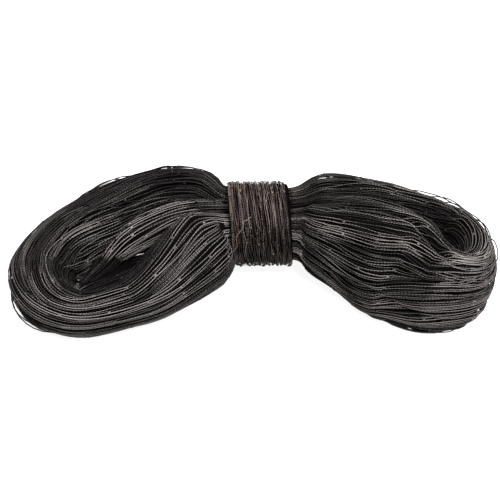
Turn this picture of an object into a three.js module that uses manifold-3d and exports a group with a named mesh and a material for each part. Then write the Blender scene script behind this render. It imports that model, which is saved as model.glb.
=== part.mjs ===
// Hank of knotted safety net. The net is bunched into one long strand, looped into an oval and
// tied at the waist with turns of its own tail. The left lobe lies flat round an open eye, and
// the right lobe stands on edge. Millimetres, +Z up, resting on z = 0.
import * as THREE from 'three';
import { ParametricGeometry } from 'three/addons/geometries/ParametricGeometry.js';
import { mergeVertices } from 'three/addons/utils/BufferGeometryUtils.js';
import loadManifold from 'manifold-3d';

const TAU = 2 * Math.PI;
const UP = new THREE.Vector3(0, 0, 1);

// Centre of the tied waist: across the floor from the part's origin, and above the floor
const WAIST = { x: 9.8, y: 22.5, z: 45 };

// Bunch of the oval, once round, seen from above against the clock from the right of the waist.
// Columns: x and y from the waist, z above the floor, half thickness, half height, inward lean
// in degrees. The last and first rows lie at the two sides of the waist.
const OVAL = [
  [29, -16, 45, 15, 24.5, 0],
  [52, -23, 46, 20, 37, 8],
  [84, -38, 48, 24, 46, 23],
  [115, -58, 46, 25, 49, 30],
  [140, -78, 42, 20, 45, 17],
  [163, -83, 39, 16, 42, 2],
  [179, -71, 38, 17, 40, 0],
  [181, -46, 38, 19, 40, 0],
  [168, -22, 38, 19, 40, 0],
  [141, -3, 39, 18, 40, 0],
  [102, 12, 41, 18, 41, 0],
  [58, 19, 45, 18, 38, 0],
  [29, 16, 45, 15, 24.5, 0],
  [-30, 16, 45, 15, 24.5, 0],
  [-54, 23, 46, 22, 38, 0],
  [-96, 28, 39, 33, 36, 0],
  [-137, 15, 31, 38, 30, 0],
  [-173, -11, 26, 35, 26, 0],
  [-190, -43, 23, 30.5, 24, 0],
  [-181, -73, 20, 24, 22, 0],
  [-154, -86, 17, 20, 18, 0],
  [-118, -79, 20, 20, 21, 2],
  [-87, -62, 27, 27, 28, 4],
  [-48, -29, 41, 26, 41, 8],
  [-30, -16, 45, 13, 21, 0],
];

// Lock that hangs from the waist into the left eye, with the same columns
const EYE_LOCK = [
  [10, 4, 50, 8, 12, 0],
  [-34, 9, 52, 11, 15, 0],
  [-68, 9, 48, 16, 18, 0],
  [-100, 2, 39, 20, 18, 0],
  [-128, -10, 29, 20, 15, 0],
  [-146, -28, 19, 14, 11, 0],
  [-158, -48, 12, 6, 6, 0],
];

// Low folds of net on the floor of the left eye, with the same columns
const EYE_FLOOR = [
  [10, -3, 42, 8, 12, 0],
  [-34, -7, 34, 12, 20, 0],
  [-62, -16, 22, 18, 22, 0],
  [-92, -26, 12, 24, 13, 0],
  [-122, -38, 9, 26, 10, 0],
  [-148, -52, 9, 20, 10, 0],
  [-164, -64, 10, 10, 8, 0],
];

// Locks that the oval's strands gather in. Columns: angle in degrees where a lock starts, from
// 0 outward through 90 at the top, then the depth of the furrow there in the right and in the
// left lobe, as a share of the section
const LOCKS = [
  [5, 0.08, 0.08],
  [32, 0.1, 0.06],
  [58, 0.14, 0.1],
  [88, 0.08, 0.08],
  [114, 0.06, 0.2],
  [146, 0.1, 0.1],
  [180, 0.05, 0.12],
  [214, 0.06, 0.06],
  [247, 0.02, 0.02],
  [293, 0.02, 0.02],
  [330, 0.1, 0.1],
];

// Places across one lock where its section has a point, the first at the bottom of a furrow
const LOCK_STEPS = [0, 0.22, 0.5, 0.78];

// Slow and quick wander of the locks round the bunch: waves in one round, radians each way
const WANDER = [
  { waves: 2, turns: 1, reach: 0.12 },
  { waves: 5, turns: -2, reach: 0.05 },
];

// Furrows fade out towards the waist between these distances from it, and swell and fade along
const FURROW = { start: 30, full: 75, waves: 3, mean: 0.75, change: 0.25, shift: 2.4 };

// Steps along the oval and along a single lock, sides of a single lock, and the curves' fineness
const OVAL_STATIONS = 92;
const LOCK_STATIONS = 24;
const LOCK_SIDES = 14;
const TENSION = 0.5;
const ARC_DIVISIONS = 1200;

// Tail of the net wound round the waist: its turns, the furrow between two turns, how far its
// edges run askew and towards which side, and how its edges round off
const WRAP = {
  width: 56,
  turns: 5,
  innerRadius: 33,
  crestRadius: 37.5,
  furrow: 1.5,
  skew: 2.5,
  skewAngle: THREE.MathUtils.degToRad(228),
  edgeRound: 5,
  edgeDrop: 2.2,
};
const WRAP_ROUND = 52;
const WRAP_ACROSS = 26;
const WRAP_INSIDE = 4;

// Tight middle of the waist, a hair thinner than the wrap's bore
const WAIST_HALF_LENGTH = 26;
const WAIST_SIDES = 52;
const SEAT_GAP = 0.3;

const NET_FACE = { color: 0x2b2827, roughness: 0.62, metalness: 0 };
const WRAP_FACE = { color: 0x322c2a, roughness: 0.66, metalness: 0 };

const wasm = await loadManifold();
wasm.setup();

// Route of a bunch's middle, and a second curve that holds its thickness, height and lean
function bunch(rows, closed) {
  const places = rows.map(([x, y, z]) => new THREE.Vector3(x, y, z));
  const sizes = rows.map((row) => new THREE.Vector3(...row.slice(3)));
  const route = new THREE.CatmullRomCurve3(places, closed, 'catmullrom', TENSION);
  const girth = new THREE.CatmullRomCurve3(sizes, closed, 'catmullrom', TENSION);
  route.arcLengthDivisions = ARC_DIVISIONS;
  return { route, girth };
}

// Section of a bunch at a share of its length: middle, sizes, and outward and upward directions
function sectionAt({ route, girth }, share) {
  const t = route.getUtoTmapping(share);
  const along = route.getTangent(t);
  const outward = new THREE.Vector3().crossVectors(along, UP).normalize();
  const upward = new THREE.Vector3().crossVectors(outward, along);
  return { middle: route.getPoint(t), size: girth.getPoint(t), outward, upward };
}

// Point of a section at an angle, pressed flat where it meets the floor
function rimPoint({ middle, size, outward, upward }, angle, swell, target) {
  const lean = THREE.MathUtils.degToRad(size.z);
  const across = swell * size.x * Math.cos(angle);
  const high = swell * size.y * Math.sin(angle);
  target.copy(middle);
  target.addScaledVector(outward, across * Math.cos(lean) - high * Math.sin(lean));
  target.addScaledVector(upward, across * Math.sin(lean) + high * Math.cos(lean));
  target.z = Math.max(target.z, 0);
}

// Angle round the bunch after its wander
function wandered(angle, share) {
  const shift = ({ waves, turns, reach }) => reach * Math.sin(TAU * waves * share + turns * angle);
  return WANDER.reduce((sum, wave) => sum + shift(wave), angle);
}

// Depth of a lock's first furrow at a place along the oval
function furrowDepth(lock, x, share) {
  const [, right, left] = LOCKS[lock];
  const open = THREE.MathUtils.smoothstep(Math.abs(x), FURROW.start, FURROW.full);
  const swing = Math.sin(TAU * FURROW.waves * share + FURROW.shift * lock);
  return (x > 0 ? right : left) * open * (FURROW.mean + FURROW.change * swing);
}

// Oval of the hank, its section a ring of locks with furrows between them
function ovalSolid() {
  const oval = bunch(OVAL, true);
  const count = LOCKS.length * LOCK_STEPS.length;
  const point = (u, v, target) => {
    const share = u % 1;
    const step = Math.round(v * count) % count;
    const lock = Math.floor(step / LOCK_STEPS.length);
    const next = (lock + 1) % LOCKS.length;
    const across = LOCK_STEPS[step % LOCK_STEPS.length];
    const width = (LOCKS[next][0] - LOCKS[lock][0] + 360) % 360;
    const angle = THREE.MathUtils.degToRad(LOCKS[lock][0] + across * width);
    const section = sectionAt(oval, share);
    const here = furrowDepth(lock, section.middle.x, share);
    const there = furrowDepth(next, section.middle.x, share);
    const depth = THREE.MathUtils.lerp(here, there, across);
    const swell = 1 - depth * (1 - Math.sin(Math.PI * across)) ** 2;
    rimPoint(section, wandered(angle, share), swell, target);
  };
  return solid(new ParametricGeometry(point, OVAL_STATIONS, count));
}

// Lock with two free ends, each closed to a point
function lockSolid(rows) {
  const lock = bunch(rows, false);
  const point = (u, v, target) => {
    const swell = u <= 0 || u >= 1 ? 0 : 1;
    rimPoint(sectionAt(lock, THREE.MathUtils.clamp(u, 0, 1)), TAU * (v % 1), swell, target);
  };
  return solid(new ParametricGeometry(point, LOCK_STATIONS, LOCK_SIDES));
}

// Tight middle of the waist, where both sides of the oval are pressed into one
function waistSolid() {
  const radius = WRAP.innerRadius - SEAT_GAP;
  const geometry = new THREE.CylinderGeometry(radius, radius, 2 * WAIST_HALF_LENGTH, WAIST_SIDES);
  geometry.rotateZ(Math.PI / 2);
  geometry.translate(0, 0, WAIST.z);
  return solid(geometry);
}

// Outside of the wound tail: a ridge for each turn, along a helix, rounded at both edges
function wrapRadius(x, angle) {
  const turn = x / (WRAP.width / WRAP.turns) + angle / TAU;
  const furrow = WRAP.furrow * (1 - Math.abs(Math.sin(Math.PI * turn)));
  const inset = Math.min(1, (WRAP.width / 2 - Math.abs(x)) / WRAP.edgeRound);
  return WRAP.crestRadius - furrow - WRAP.edgeDrop * (1 - inset) ** 2;
}

// Tail wound round the waist, a closed ring a little askew
function wrapGeometry() {
  const count = WRAP_ACROSS + WRAP_INSIDE;
  const point = (u, v, target) => {
    const angle = TAU * (u % 1);
    const step = Math.round(v * count) % count;
    const outside = step < WRAP_ACROSS;
    const share = outside ? step / (WRAP_ACROSS - 1) : 1 - (step - WRAP_ACROSS) / (WRAP_INSIDE - 1);
    const x = WRAP.width * (share - 0.5);
    const radius = outside ? wrapRadius(x, angle) : WRAP.innerRadius;
    const askew = WRAP.skew * Math.cos(angle - WRAP.skewAngle);
    target.set(x + askew, radius * Math.cos(angle), WAIST.z + radius * Math.sin(angle));
  };
  return closedGeometry(new ParametricGeometry(point, WRAP_ROUND, count));
}

// Position-only geometry with shared points and no collapsed triangles
function closedGeometry(geometry) {
  geometry.deleteAttribute('normal');
  geometry.deleteAttribute('uv');
  const merged = mergeVertices(geometry);
  const index = Array.from(merged.index.array);
  const kept = [];
  for (let i = 0; i < index.length; i += 3) {
    const [a, b, c] = index.slice(i, i + 3);
    if (a !== b && b !== c && c !== a) kept.push(a, b, c);
  }
  merged.setIndex(kept);
  return merged;
}

function solid(geometry) {
  const closed = closedGeometry(geometry);
  const vertProperties = new Float32Array(closed.attributes.position.array);
  const triVerts = new Uint32Array(closed.index.array);
  return new wasm.Manifold(new wasm.Mesh({ numProp: 3, vertProperties, triVerts }));
}

function geometryOf(body) {
  const { vertProperties, triVerts } = body.getMesh();
  const geometry = new THREE.BufferGeometry();
  geometry.setAttribute('position', new THREE.BufferAttribute(vertProperties, 3));
  geometry.setIndex(new THREE.BufferAttribute(triVerts, 1));
  return geometry;
}

function piece(name, geometry, face) {
  geometry.computeVertexNormals();
  const mesh = new THREE.Mesh(geometry, new THREE.MeshStandardMaterial(face));
  mesh.name = name;
  return mesh;
}

const hank = new THREE.Group();
const net = [lockSolid(EYE_LOCK), lockSolid(EYE_FLOOR), waistSolid()]
  .reduce((joined, body) => joined.add(body), ovalSolid());
hank.add(piece('net_hank', geometryOf(net), NET_FACE));
hank.add(piece('waist_wrap', wrapGeometry(), WRAP_FACE));
hank.position.set(WAIST.x, WAIST.y, 0);

export default hank;
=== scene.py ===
"""Dresses a hank of black knotted safety net: ropes of strands and knots over its bunched form,
the tail wound round its waist, loose strands at its rim, and a pale studio stage."""

import math

import bmesh
import bpy
import numpy as np
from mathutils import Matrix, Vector


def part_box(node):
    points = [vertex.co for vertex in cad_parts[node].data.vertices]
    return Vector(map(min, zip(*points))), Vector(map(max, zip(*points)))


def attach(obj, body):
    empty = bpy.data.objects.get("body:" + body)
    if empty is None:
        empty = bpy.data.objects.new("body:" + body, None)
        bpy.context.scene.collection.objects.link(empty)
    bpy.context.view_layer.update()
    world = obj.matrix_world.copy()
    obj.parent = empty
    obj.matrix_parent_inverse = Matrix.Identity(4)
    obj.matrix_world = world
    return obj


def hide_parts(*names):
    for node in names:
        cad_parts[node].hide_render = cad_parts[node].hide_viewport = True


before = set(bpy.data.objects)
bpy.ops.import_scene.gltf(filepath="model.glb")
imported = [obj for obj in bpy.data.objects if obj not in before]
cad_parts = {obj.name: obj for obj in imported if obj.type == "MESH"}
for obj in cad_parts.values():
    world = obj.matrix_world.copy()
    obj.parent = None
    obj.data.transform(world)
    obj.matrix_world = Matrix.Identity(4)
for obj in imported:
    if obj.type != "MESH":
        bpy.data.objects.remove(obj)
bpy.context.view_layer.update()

bl_info = {
    "name": "Safety Net Hank",
    "version": (1, 0, 0),
    "blender": (4, 5, 0),
    "location": "View3D > Sidebar > Net Hank",
    "description": "Dresses a tied hank of black knotted safety net",
    "category": "Add Mesh",
}

MM = 0.001
TAU = 2 * math.pi

# Middle of the tied waist, from the wound tail's box; the tables count x and y from it
WAIST = sum(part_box("waist_wrap"), Vector()) / 2
SHIFT = np.array([WAIST.x / MM, WAIST.y / MM, 0])

# Bunch of the oval, once round, in millimetres. Columns: x and y from the waist, z above the
# floor, half thickness, half height, inward lean in degrees
OVAL = [
    [29, -16, 45, 15, 24.5, 0],
    [52, -23, 46, 20, 37, 8],
    [84, -38, 48, 24, 46, 23],
    [115, -58, 46, 25, 49, 30],
    [140, -78, 42, 20, 45, 17],
    [163, -83, 39, 16, 42, 2],
    [179, -71, 38, 17, 40, 0],
    [181, -46, 38, 19, 40, 0],
    [168, -22, 38, 19, 40, 0],
    [141, -3, 39, 18, 40, 0],
    [102, 12, 41, 18, 41, 0],
    [58, 19, 45, 18, 38, 0],
    [29, 16, 45, 15, 24.5, 0],
    [-30, 16, 45, 15, 24.5, 0],
    [-54, 23, 46, 22, 38, 0],
    [-96, 28, 39, 33, 36, 0],
    [-137, 15, 31, 38, 30, 0],
    [-173, -11, 26, 35, 26, 0],
    [-190, -43, 23, 30.5, 24, 0],
    [-181, -73, 20, 24, 22, 0],
    [-154, -86, 17, 20, 18, 0],
    [-118, -79, 20, 20, 21, 2],
    [-87, -62, 27, 27, 28, 4],
    [-48, -29, 41, 26, 41, 8],
    [-30, -16, 45, 13, 21, 0],
]

# Lock that hangs from the waist into the left eye, and low folds on the eye's floor
EYE_LOCK = [
    [10, 4, 50, 8, 12, 0],
    [-34, 9, 52, 11, 15, 0],
    [-68, 9, 48, 16, 18, 0],
    [-100, 2, 39, 20, 18, 0],
    [-128, -10, 29, 20, 15, 0],
    [-146, -28, 19, 14, 11, 0],
    [-158, -48, 12, 6, 6, 0],
]
EYE_FLOOR = [
    [10, -3, 42, 8, 12, 0],
    [-34, -7, 34, 12, 20, 0],
    [-62, -16, 22, 18, 22, 0],
    [-92, -26, 12, 24, 13, 0],
    [-122, -38, 9, 26, 10, 0],
    [-148, -52, 9, 20, 10, 0],
    [-164, -64, 10, 10, 8, 0],
]

# Dark folds under the lock, along the far rim of the eye
EYE_FILL = [
    [-50, 0, 24, 14, 14, 0],
    [-90, -4, 16, 15, 12, 0],
    [-130, -16, 11, 15, 9, 0],
    [-152, -36, 10, 14, 8, 0],
    [-160, -60, 10, 10, 7, 0],
]

# Turn of the oval's strands round the bunch at each row, in degrees
STRAND_TURNS = [0, 16, 19, 8, -7, -10, -5, 0, 0, 0, 0, 0, 0, 0, 0, 0, 0, 0, 0, 0, 0, 0, 0, 0, 0]

# Locks of the oval. Columns: angle in degrees where a lock starts, from 0 outward through 90 at
# the top, then the depth of the furrow there in the right and in the left lobe, as a share of the
# bunch's size
LOCKS = np.array([
    [5, 0.08, 0.08],
    [32, 0.1, 0.06],
    [58, 0.14, 0.1],
    [88, 0.08, 0.08],
    [114, 0.06, 0.2],
    [146, 0.1, 0.1],
    [180, 0.05, 0.12],
    [214, 0.06, 0.06],
    [247, 0.02, 0.02],
    [293, 0.02, 0.02],
    [330, 0.1, 0.1],
])

# Wander of the locks: waves along the oval, waves round the bunch, radians each way
WANDER = [(2, 1, 0.12), (5, -2, 0.05)]

# Furrows between the locks: millimetres from the waist where they start and where they are full,
# waves of their depth along the oval, its mean and change, shift of the waves from lock to lock
FURROW = {"start": 30, "full": 75, "waves": 3, "mean": 0.75, "change": 0.25, "shift": 2.4}

# Wound tail in millimetres: width, turns, radius on a turn's crest, furrow between turns, skew
# along the waist and the angle where it is greatest, rounded edge and its drop, distance between
# the kinks of a strand
WRAP_WIDTH = 56
WRAP_TURNS = 5
WRAP_CREST = 37.5
WRAP_FURROW = 1.5
WRAP_SKEW = 2.5
WRAP_SKEW_ANGLE = math.radians(228)
WRAP_EDGE = 5
WRAP_DROP = 2.2
WRAP_KINK = 12

# End of the tail where it strays over the turns: millimetres along the waist, degrees round it
WRAP_END = [
    (-8, 131), (-11, 135), (-14.5, 137), (-15, 146), (-18.5, 152),
    (-21, 157), (-20, 170), (-22.5, 178), (-27, 184),
]

# Stretches of the oval between the rows that the wrap hides
LOBES = {"right": (-0.08, 12.08), "left": (12.92, 24.22)}

# Ropes of strands round a bunch: fewest strands and one past the most, gap between ropes in
# millimetres, and the share of their spacing that two strands keep at their knot
ROPE_STRANDS = (3, 8)
ROPE_GAP = 0.7
ROPE_TOUCH = 0.75

# Sway and heave of the ropes, each with its shortest and longest wave, and the height of a rope's
# middle over its sides, in millimetres
ROPE_SWAY = 1.0
SWAY_WAVES = (80, 220)
ROPE_HEAVE = 0.7
HEAVE_WAVES = (70, 200)
ROPE_CROWN = 1.6

# Sway that neighbouring ropes share: terms, steepness, fewest waves round the bunch and one past
# the most, shortest and longest wave along it in millimetres
FLOW = {"terms": 5, "steep": 0.05, "around": (2, 8), "along": (160, 420)}

# Ropes that sink where the bunch narrows: share of them on top where it is widest, power of the
# fall with its girth, share that is on its way down, least width and least spacing left of a rope,
# its depth in millimetres, and stations each way that even out the girth
SINK_SHARE = 1.2
SINK_POWER = 0.7
SINK_RAMP = 0.14
SINK_WIDTH = 0.02
SINK_SPREAD = 0.6
SINK_DEPTH = 5.0
SINK_STATIONS = 14

# Golden section, which picks the ropes that sink, and golden angle, which varies the twist
GOLDEN_SHARE = 0.618
GOLDEN_ANGLE = 2.4

# Millimetres over which the eye's ropes dive and glint at their far end
TIP_LENGTH = 18

# Dark core under the strands, which stands for the net inside the bunch and is near black as
# painted shade: depth in thicknesses of the twine, share of it left at the floor, metres of height
# that add a whole depth, smoothing, share of the depth that stays off the floor, and metres within
# which the solid's points are merged
CORE_DEPTH = {"net_hank": 2.0, "waist_wrap": 1.6}
CORE_RIM = 0.3
RIM_HEIGHT = 0.03
CORE_SMOOTH = 0.5
CORE_CLEAR = 0.25
CORE_MERGE = 1e-6

# Painted light and shade in a strand's tone: lighter or darker for each millimetre over or under its
# layer, painted light on the side of a bunch that faces down, and painted shade in a furrow
DEPTH_SHADE = 0.12
LOW_SIDE_LIGHT = 0.3
FURROW_SHADE = 0.8

# Sharpness of the change from the outer to the inner side of a bunch, where the painted shade and
# light of the tables' further tone come in
INNER_SHADE_EDGE = 1.8

# Unevenness of the tone between ropes, strands, rows of bars, and bars
TONE_JITTER = {"rope": 0.06, "strand": 0.08, "row": 0.07, "bar": 0.08}

# Millimetres along each part to a row of knots, and their unevenness: lag of a rope's rows, along,
# across, height
KNOT_START = {"right": 17, "left": 0, "eye": 0}
KNOT_JITTER = {
    "right": (2.5, 1.4, 0.7, 0.5),
    "left": (8.0, 2.2, 0.6, 0.5),
    "eye": (10.0, 3.0, 0.6, 0.4),
    "wrap": (4.0, 2.5, 0.5, 0.4),
}

# Spacing of the strands by part, against the twine's own
SPREAD = {"right": 0.86, "left": 1.14, "eye": 0.95}

# Painted light and shade on the strands along the oval, the eye's dark folds, its floor and its lock.
# Columns: row, tone, further tone on the side that faces the middle of the hank, share of the ropes
# on top. The tone is painted light and shade by row. The further tone is mostly painted shade on the
# inner side, and painted light at two rows. The folds and the lock are painted dark where they start
# near the waist, and the folds' pale tips are painted glints
ROW_PAINTED_TONES = np.array([
    [0, -0.35, -0.1, 1.0],
    [2.4, -0.28, -0.1, 1.0],
    [4.4, -0.22, -0.2, 0.52],
    [5.0, 0.1, -0.3, 0.26],
    [6.6, 0.12, -0.5, 0.22],
    [8, -0.14, -0.5, 0.6],
    [10, -0.22, -0.3, 1.0],
    [13, -0.5, 0.0, 1.0],
    [15.2, -0.58, 0.0, 0.95],
    [16.4, -0.5, 0.4, 0.92],
    [17.2, -0.43, 0.34, 0.9],
    [18, -0.37, -0.1, 0.86],
    [19.6, -0.1, -0.4, 0.82],
    [20.6, -0.02, -1.0, 0.8],
    [22, -0.1, -1.0, 0.78],
    [23, -0.05, -0.3, 0.8],
    [25, 0.18, 0.0, 1.0],
])
FILL_PAINTED_TONES = np.array([
    [0, -0.5, 0, 1],
    [1.9, -0.3, 0, 1],
    [2.6, 0.5, 0, 1],
    [4, 0.6, 0, 1],
])
FLOOR_PAINTED_TONES = np.array([
    [0, -0.5, 0, 1],
    [4.7, -0.4, 0, 1],
    [5.3, 0.5, 0, 1],
    [6, 0.6, 0, 1],
])
EYE_PAINTED_TONES = np.array([
    [0, -0.5, 0, 1],
    [1, -0.45, 0, 1],
    [2.2, 0, 0, 1],
    [7, 0, 0, 1],
])

# Locks that cross the others on top of the bunch. Columns: lobe, first and last row, first and
# last angle in degrees, strands, height over the bunch in millimetres
CROSSING_LOCKS = [
    ("right", 4.0, 7.8, 62, 36, 3, 1.0),
    ("right", 4.2, 8.0, 20, 48, 3, 1.0),
    ("right", 4.4, 7.6, -6, 18, 3, 1.0),
    ("right", 4.0, 7.4, 34, 4, 3, 1.0),
    ("right", 4.2, 7.8, 84, 60, 3, 1.0),
    ("left", 13.2, 18.6, 84, 104, 6, 1.6),
    ("left", 13.6, 19.4, 128, 108, 5, 1.6),
    ("right", 4.6, 7.2, 72, 50, 2, 1.3),
    ("right", 4.4, 7.0, 6, -14, 2, 1.3),
    ("right", 5.0, 7.8, 44, 22, 2, 1.3),
]

# Loose strands that bow out from the bunch. Columns: first and last row, first and last angle in
# degrees, height of the bow in millimetres
LOOSE_STRANDS = [
    (13.4, 14.9, 61, 51, 2.4),
    (13.7, 14.7, 60, 53, 3.4),
    (14.1, 15.1, 60, 50, 2.0),
    (15.2, 16.4, 49, 38, 2.2),
    (15.4, 16.2, 47, 40, 2.8),
    (18.2, 19.6, 10, 326, 2.8),
    (18.4, 19.8, 6, 322, 4.2),
    (18.7, 19.9, 0, 320, 2.4),
    (6.8, 8.2, 42, 66, 4.0),
    (7.0, 8.6, 48, 68, 5.0),
    (7.2, 9.0, 54, 69, 4.2),
    (7.6, 9.4, 61, 70, 3.0),
    (6.4, 7.1, 20, 52, 4.5),
]

# Finish of the twine: plies, then middle and gain of its mottling, of the ridges of its plies and
# of the crest of its outer side, share of fine mottling, place of the shade between hollow and tint.
# The ridges and the crest are painted highlights: beads of light along the plies, and a light line
# down each strand's outer side with painted shade at its sides
PLIES = 3.0
SPECKS = (0.8, 0.7)
RIDGE_HIGHLIGHTS = (0.64, 0.36)
CREST_HIGHLIGHTS = (0.72, 1.6)
FIBRE_SHARE = 0.6
SHADE_PLACE = 0.55

# Roughness of the twine and its change with the fibres, relief of its plies in metres, shine
NET_ROUGHNESS = 0.3
WRAP_ROUGHNESS = 0.36
ROUGHNESS_CHANGE = 0.2
PLY_RELIEF = 0.0003
PLY_STRENGTH = 0.8
TWINE_SHINE = 0.04

# Uneven twist from strand to strand, and lag of each strand's plies against the one before
TWIST_CHANGE = 0.15
PLY_LAG = 0.206

# Masks of the mottling: name, scale, detail
MOTTLE = (("Patch", 26.0, 2), ("Fibre", 900.0, 1))

# Finish of the dark core: two near-black colours of painted shade, scale of its fibres, relief in metres,
# roughness
CORE_SHADE_COLOURS = ((0.0005, 0.0004, 0.0004), (0.0016, 0.0013, 0.0013))
CORE_FIBRES = 500.0
CORE_RELIEF = 0.0006
CORE_ROUGHNESS = 0.9


class TwineSettings(bpy.types.PropertyGroup):
    """Sizes and colours of the twine"""

    thickness: bpy.props.FloatProperty(
        name="Thickness", description="Diameter of the twisted twine",
        default=0.0009, min=0.0004, unit="LENGTH")
    spacing: bpy.props.FloatProperty(
        name="Spacing", description="Distance between strands across a lobe",
        default=0.0027, min=0.0005, unit="LENGTH")
    mesh_bar: bpy.props.FloatProperty(
        name="Mesh Bar", description="Distance between knots along a strand",
        default=0.030, min=0.005, unit="LENGTH")
    knot: bpy.props.FloatProperty(
        name="Knot", description="Width of a knot",
        default=0.0025, min=0.0005, unit="LENGTH")
    twist: bpy.props.FloatProperty(
        name="Twist", description="Length of one turn of the twine's plies",
        default=0.0078, min=0.0005, unit="LENGTH")
    step: bpy.props.FloatProperty(
        name="Step", description="Distance between two rings of a strand's mesh",
        default=0.0045, min=0.001, unit="LENGTH")
    # The ramp from hollow through shade to tint colours the strands' tone, much of it painted light and
    # shade. Hollow is painted shade deep in the bunch
    hollow: bpy.props.FloatVectorProperty(
        name="Hollow", description="Colour of twine deep in the bunch",
        default=(0.0012, 0.0010, 0.0010), subtype="COLOR", min=0, max=1)
    shade: bpy.props.FloatVectorProperty(
        name="Shade", description="Darker colour of the net's twine",
        default=(0.008, 0.0069, 0.0066), subtype="COLOR", min=0, max=1)
    tint: bpy.props.FloatVectorProperty(
        name="Tint", description="Palest colour of the net's twine",
        default=(0.075, 0.0672, 0.064), subtype="COLOR", min=0, max=1)
    wrap_shade: bpy.props.FloatVectorProperty(
        name="Wrap Shade", description="Darker colour of the wound tail's twine",
        default=(0.008, 0.0058, 0.005), subtype="COLOR", min=0, max=1)
    wrap_tint: bpy.props.FloatVectorProperty(
        name="Wrap Tint", description="Palest colour of the wound tail's twine",
        default=(0.062, 0.0475, 0.0425), subtype="COLOR", min=0, max=1)


class StageSettings(bpy.types.PropertyGroup):
    """Camera, floor and light"""

    elevation: bpy.props.FloatProperty(
        name="Elevation", description="Height of the camera above the floor, as an angle",
        default=math.radians(42), subtype="ANGLE")
    lens: bpy.props.FloatProperty(
        name="Lens", description="Focal length in millimetres", default=80, min=10)
    distance: bpy.props.FloatProperty(
        name="Distance", description="Distance from the camera to what it looks at",
        default=0.972, min=0.1, unit="LENGTH")
    floor_colour: bpy.props.FloatVectorProperty(
        name="Floor", description="Colour of the floor",
        default=(0.14, 0.14, 0.14), subtype="COLOR", min=0, max=1)
    floor_glow: bpy.props.FloatProperty(
        name="Floor Glow", description="Light that the floor gives of itself, as a light table does",
        default=0.9, min=0)
    light_power: bpy.props.FloatProperty(
        name="Light Power", description="Power that each of the lights has its share of",
        default=66, min=0, unit="POWER")
    sky: bpy.props.FloatProperty(
        name="Sky", description="Strength of the even light from all sides", default=0.7, min=0)


def eased(f):
    """Share from 0 to 1 that starts and ends gently"""
    return f * f * (3 - 2 * f)


def short_turn(start, end):
    """Degrees from one angle to another, the short way round"""
    return (end - start + 180) % 360 - 180


def unit(vectors):
    return vectors / np.linalg.norm(vectors, axis=-1, keepdims=True)


class Bunch:
    """Route through a table's rows, with an elliptic section that leans"""

    fine_steps = 4000

    def __init__(self, rows, closed=False, tones=EYE_PAINTED_TONES):
        self.rows = np.array(rows, float)
        self.closed = closed
        self.tones = tones
        self.count = len(rows)
        self.fine = np.linspace(0, self.count if closed else self.count - 1, self.fine_steps)
        steps = np.linalg.norm(np.diff(self.values(self.fine)[:, :3], axis=0), axis=1)
        self.run = np.concatenate([[0], np.cumsum(steps)])
        self.length = self.run[-1]

    def row(self, index):
        """Rows of the table, round again on a closed route and mirrored past an open one's ends"""
        if self.closed:
            return self.rows[index % self.count]
        inside = np.clip(index, 0, self.count - 1)
        return 2 * self.rows[inside] - self.rows[np.clip(2 * inside - index, 0, self.count - 1)]

    def values(self, place):
        """Table columns at row numbers with fractions, on a Catmull-Rom curve"""
        first = np.floor(place).astype(int)
        if not self.closed:
            first = np.clip(first, 0, self.count - 2)
        f = (place - first)[:, None]
        a, b, c, d = (self.row(first + k) for k in (-1, 0, 1, 2))
        bend = (2 * a - 5 * b + 4 * c - d) * f**2 + (3 * b - a - 3 * c + d) * f**3
        return b + 0.5 * ((c - a) * f + bend)

    def distance(self, place):
        """Distance along the route, counted on past its seam"""
        if not self.closed:
            return np.interp(place, self.fine, self.run)
        rounds = np.floor(place / self.count)
        return rounds * self.length + np.interp(place - rounds * self.count, self.fine, self.run)

    def places(self, first, last, step):
        """Row numbers at even steps along the route"""
        many = np.linspace(first, last, self.fine_steps)
        run = self.distance(many)
        count = int(round((run[-1] - run[0]) / step)) + 1
        return np.interp(np.linspace(run[0], run[-1], count), run, many)

    def settle(self, angle, place):
        """Angle after any wander of the locks, and the share of the section's size left there"""
        return angle, np.ones_like(angle)

    def tone(self, place, angle):
        """Painted light and shade in the strands' tone along the route, and more on the side that faces
        the middle of the hank
        """
        row, tone, inner, _ = self.tones.T
        place = place % self.count
        inward = np.clip(-INNER_SHADE_EDGE * np.cos(angle), 0, 1)
        return np.interp(place, row, tone) + np.interp(place, row, inner) * inward

    def topmost(self, place):
        """Share of the ropes that lie on top"""
        return np.interp(place % self.count, self.tones[:, 0], self.tones[:, 3])

    def lay(self, place, angle, lift):
        """Points and outward normals, each (strand, station, xyz), lifted off the section, and
        the share of the section's size left at each"""
        near = 1e-3
        middle, size = np.split(self.values(place)[:, :6], 2, axis=1)
        lean = np.radians(size[:, 2:])
        angle, swell = self.settle(angle - lean[:, 0], place)
        along = unit(self.values(place + near)[:, :3] - self.values(place - near)[:, :3])
        outward = unit(np.cross(along, (0, 0, 1)))
        upward = np.cross(outward, along)
        across = np.cos(lean) * outward + np.sin(lean) * upward
        high = np.cos(lean) * upward - np.sin(lean) * outward
        thick, tall = size[:, 0], size[:, 1]
        flat = unit(np.stack([np.cos(angle) * tall, np.sin(angle) * thick], axis=-1))
        normal = flat[..., :1] * across + flat[..., 1:] * high
        rim = (swell * thick * np.cos(angle))[..., None] * across
        rim = rim + (swell * tall * np.sin(angle))[..., None] * high
        return middle + rim + lift[..., None] * normal, normal, swell


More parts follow.
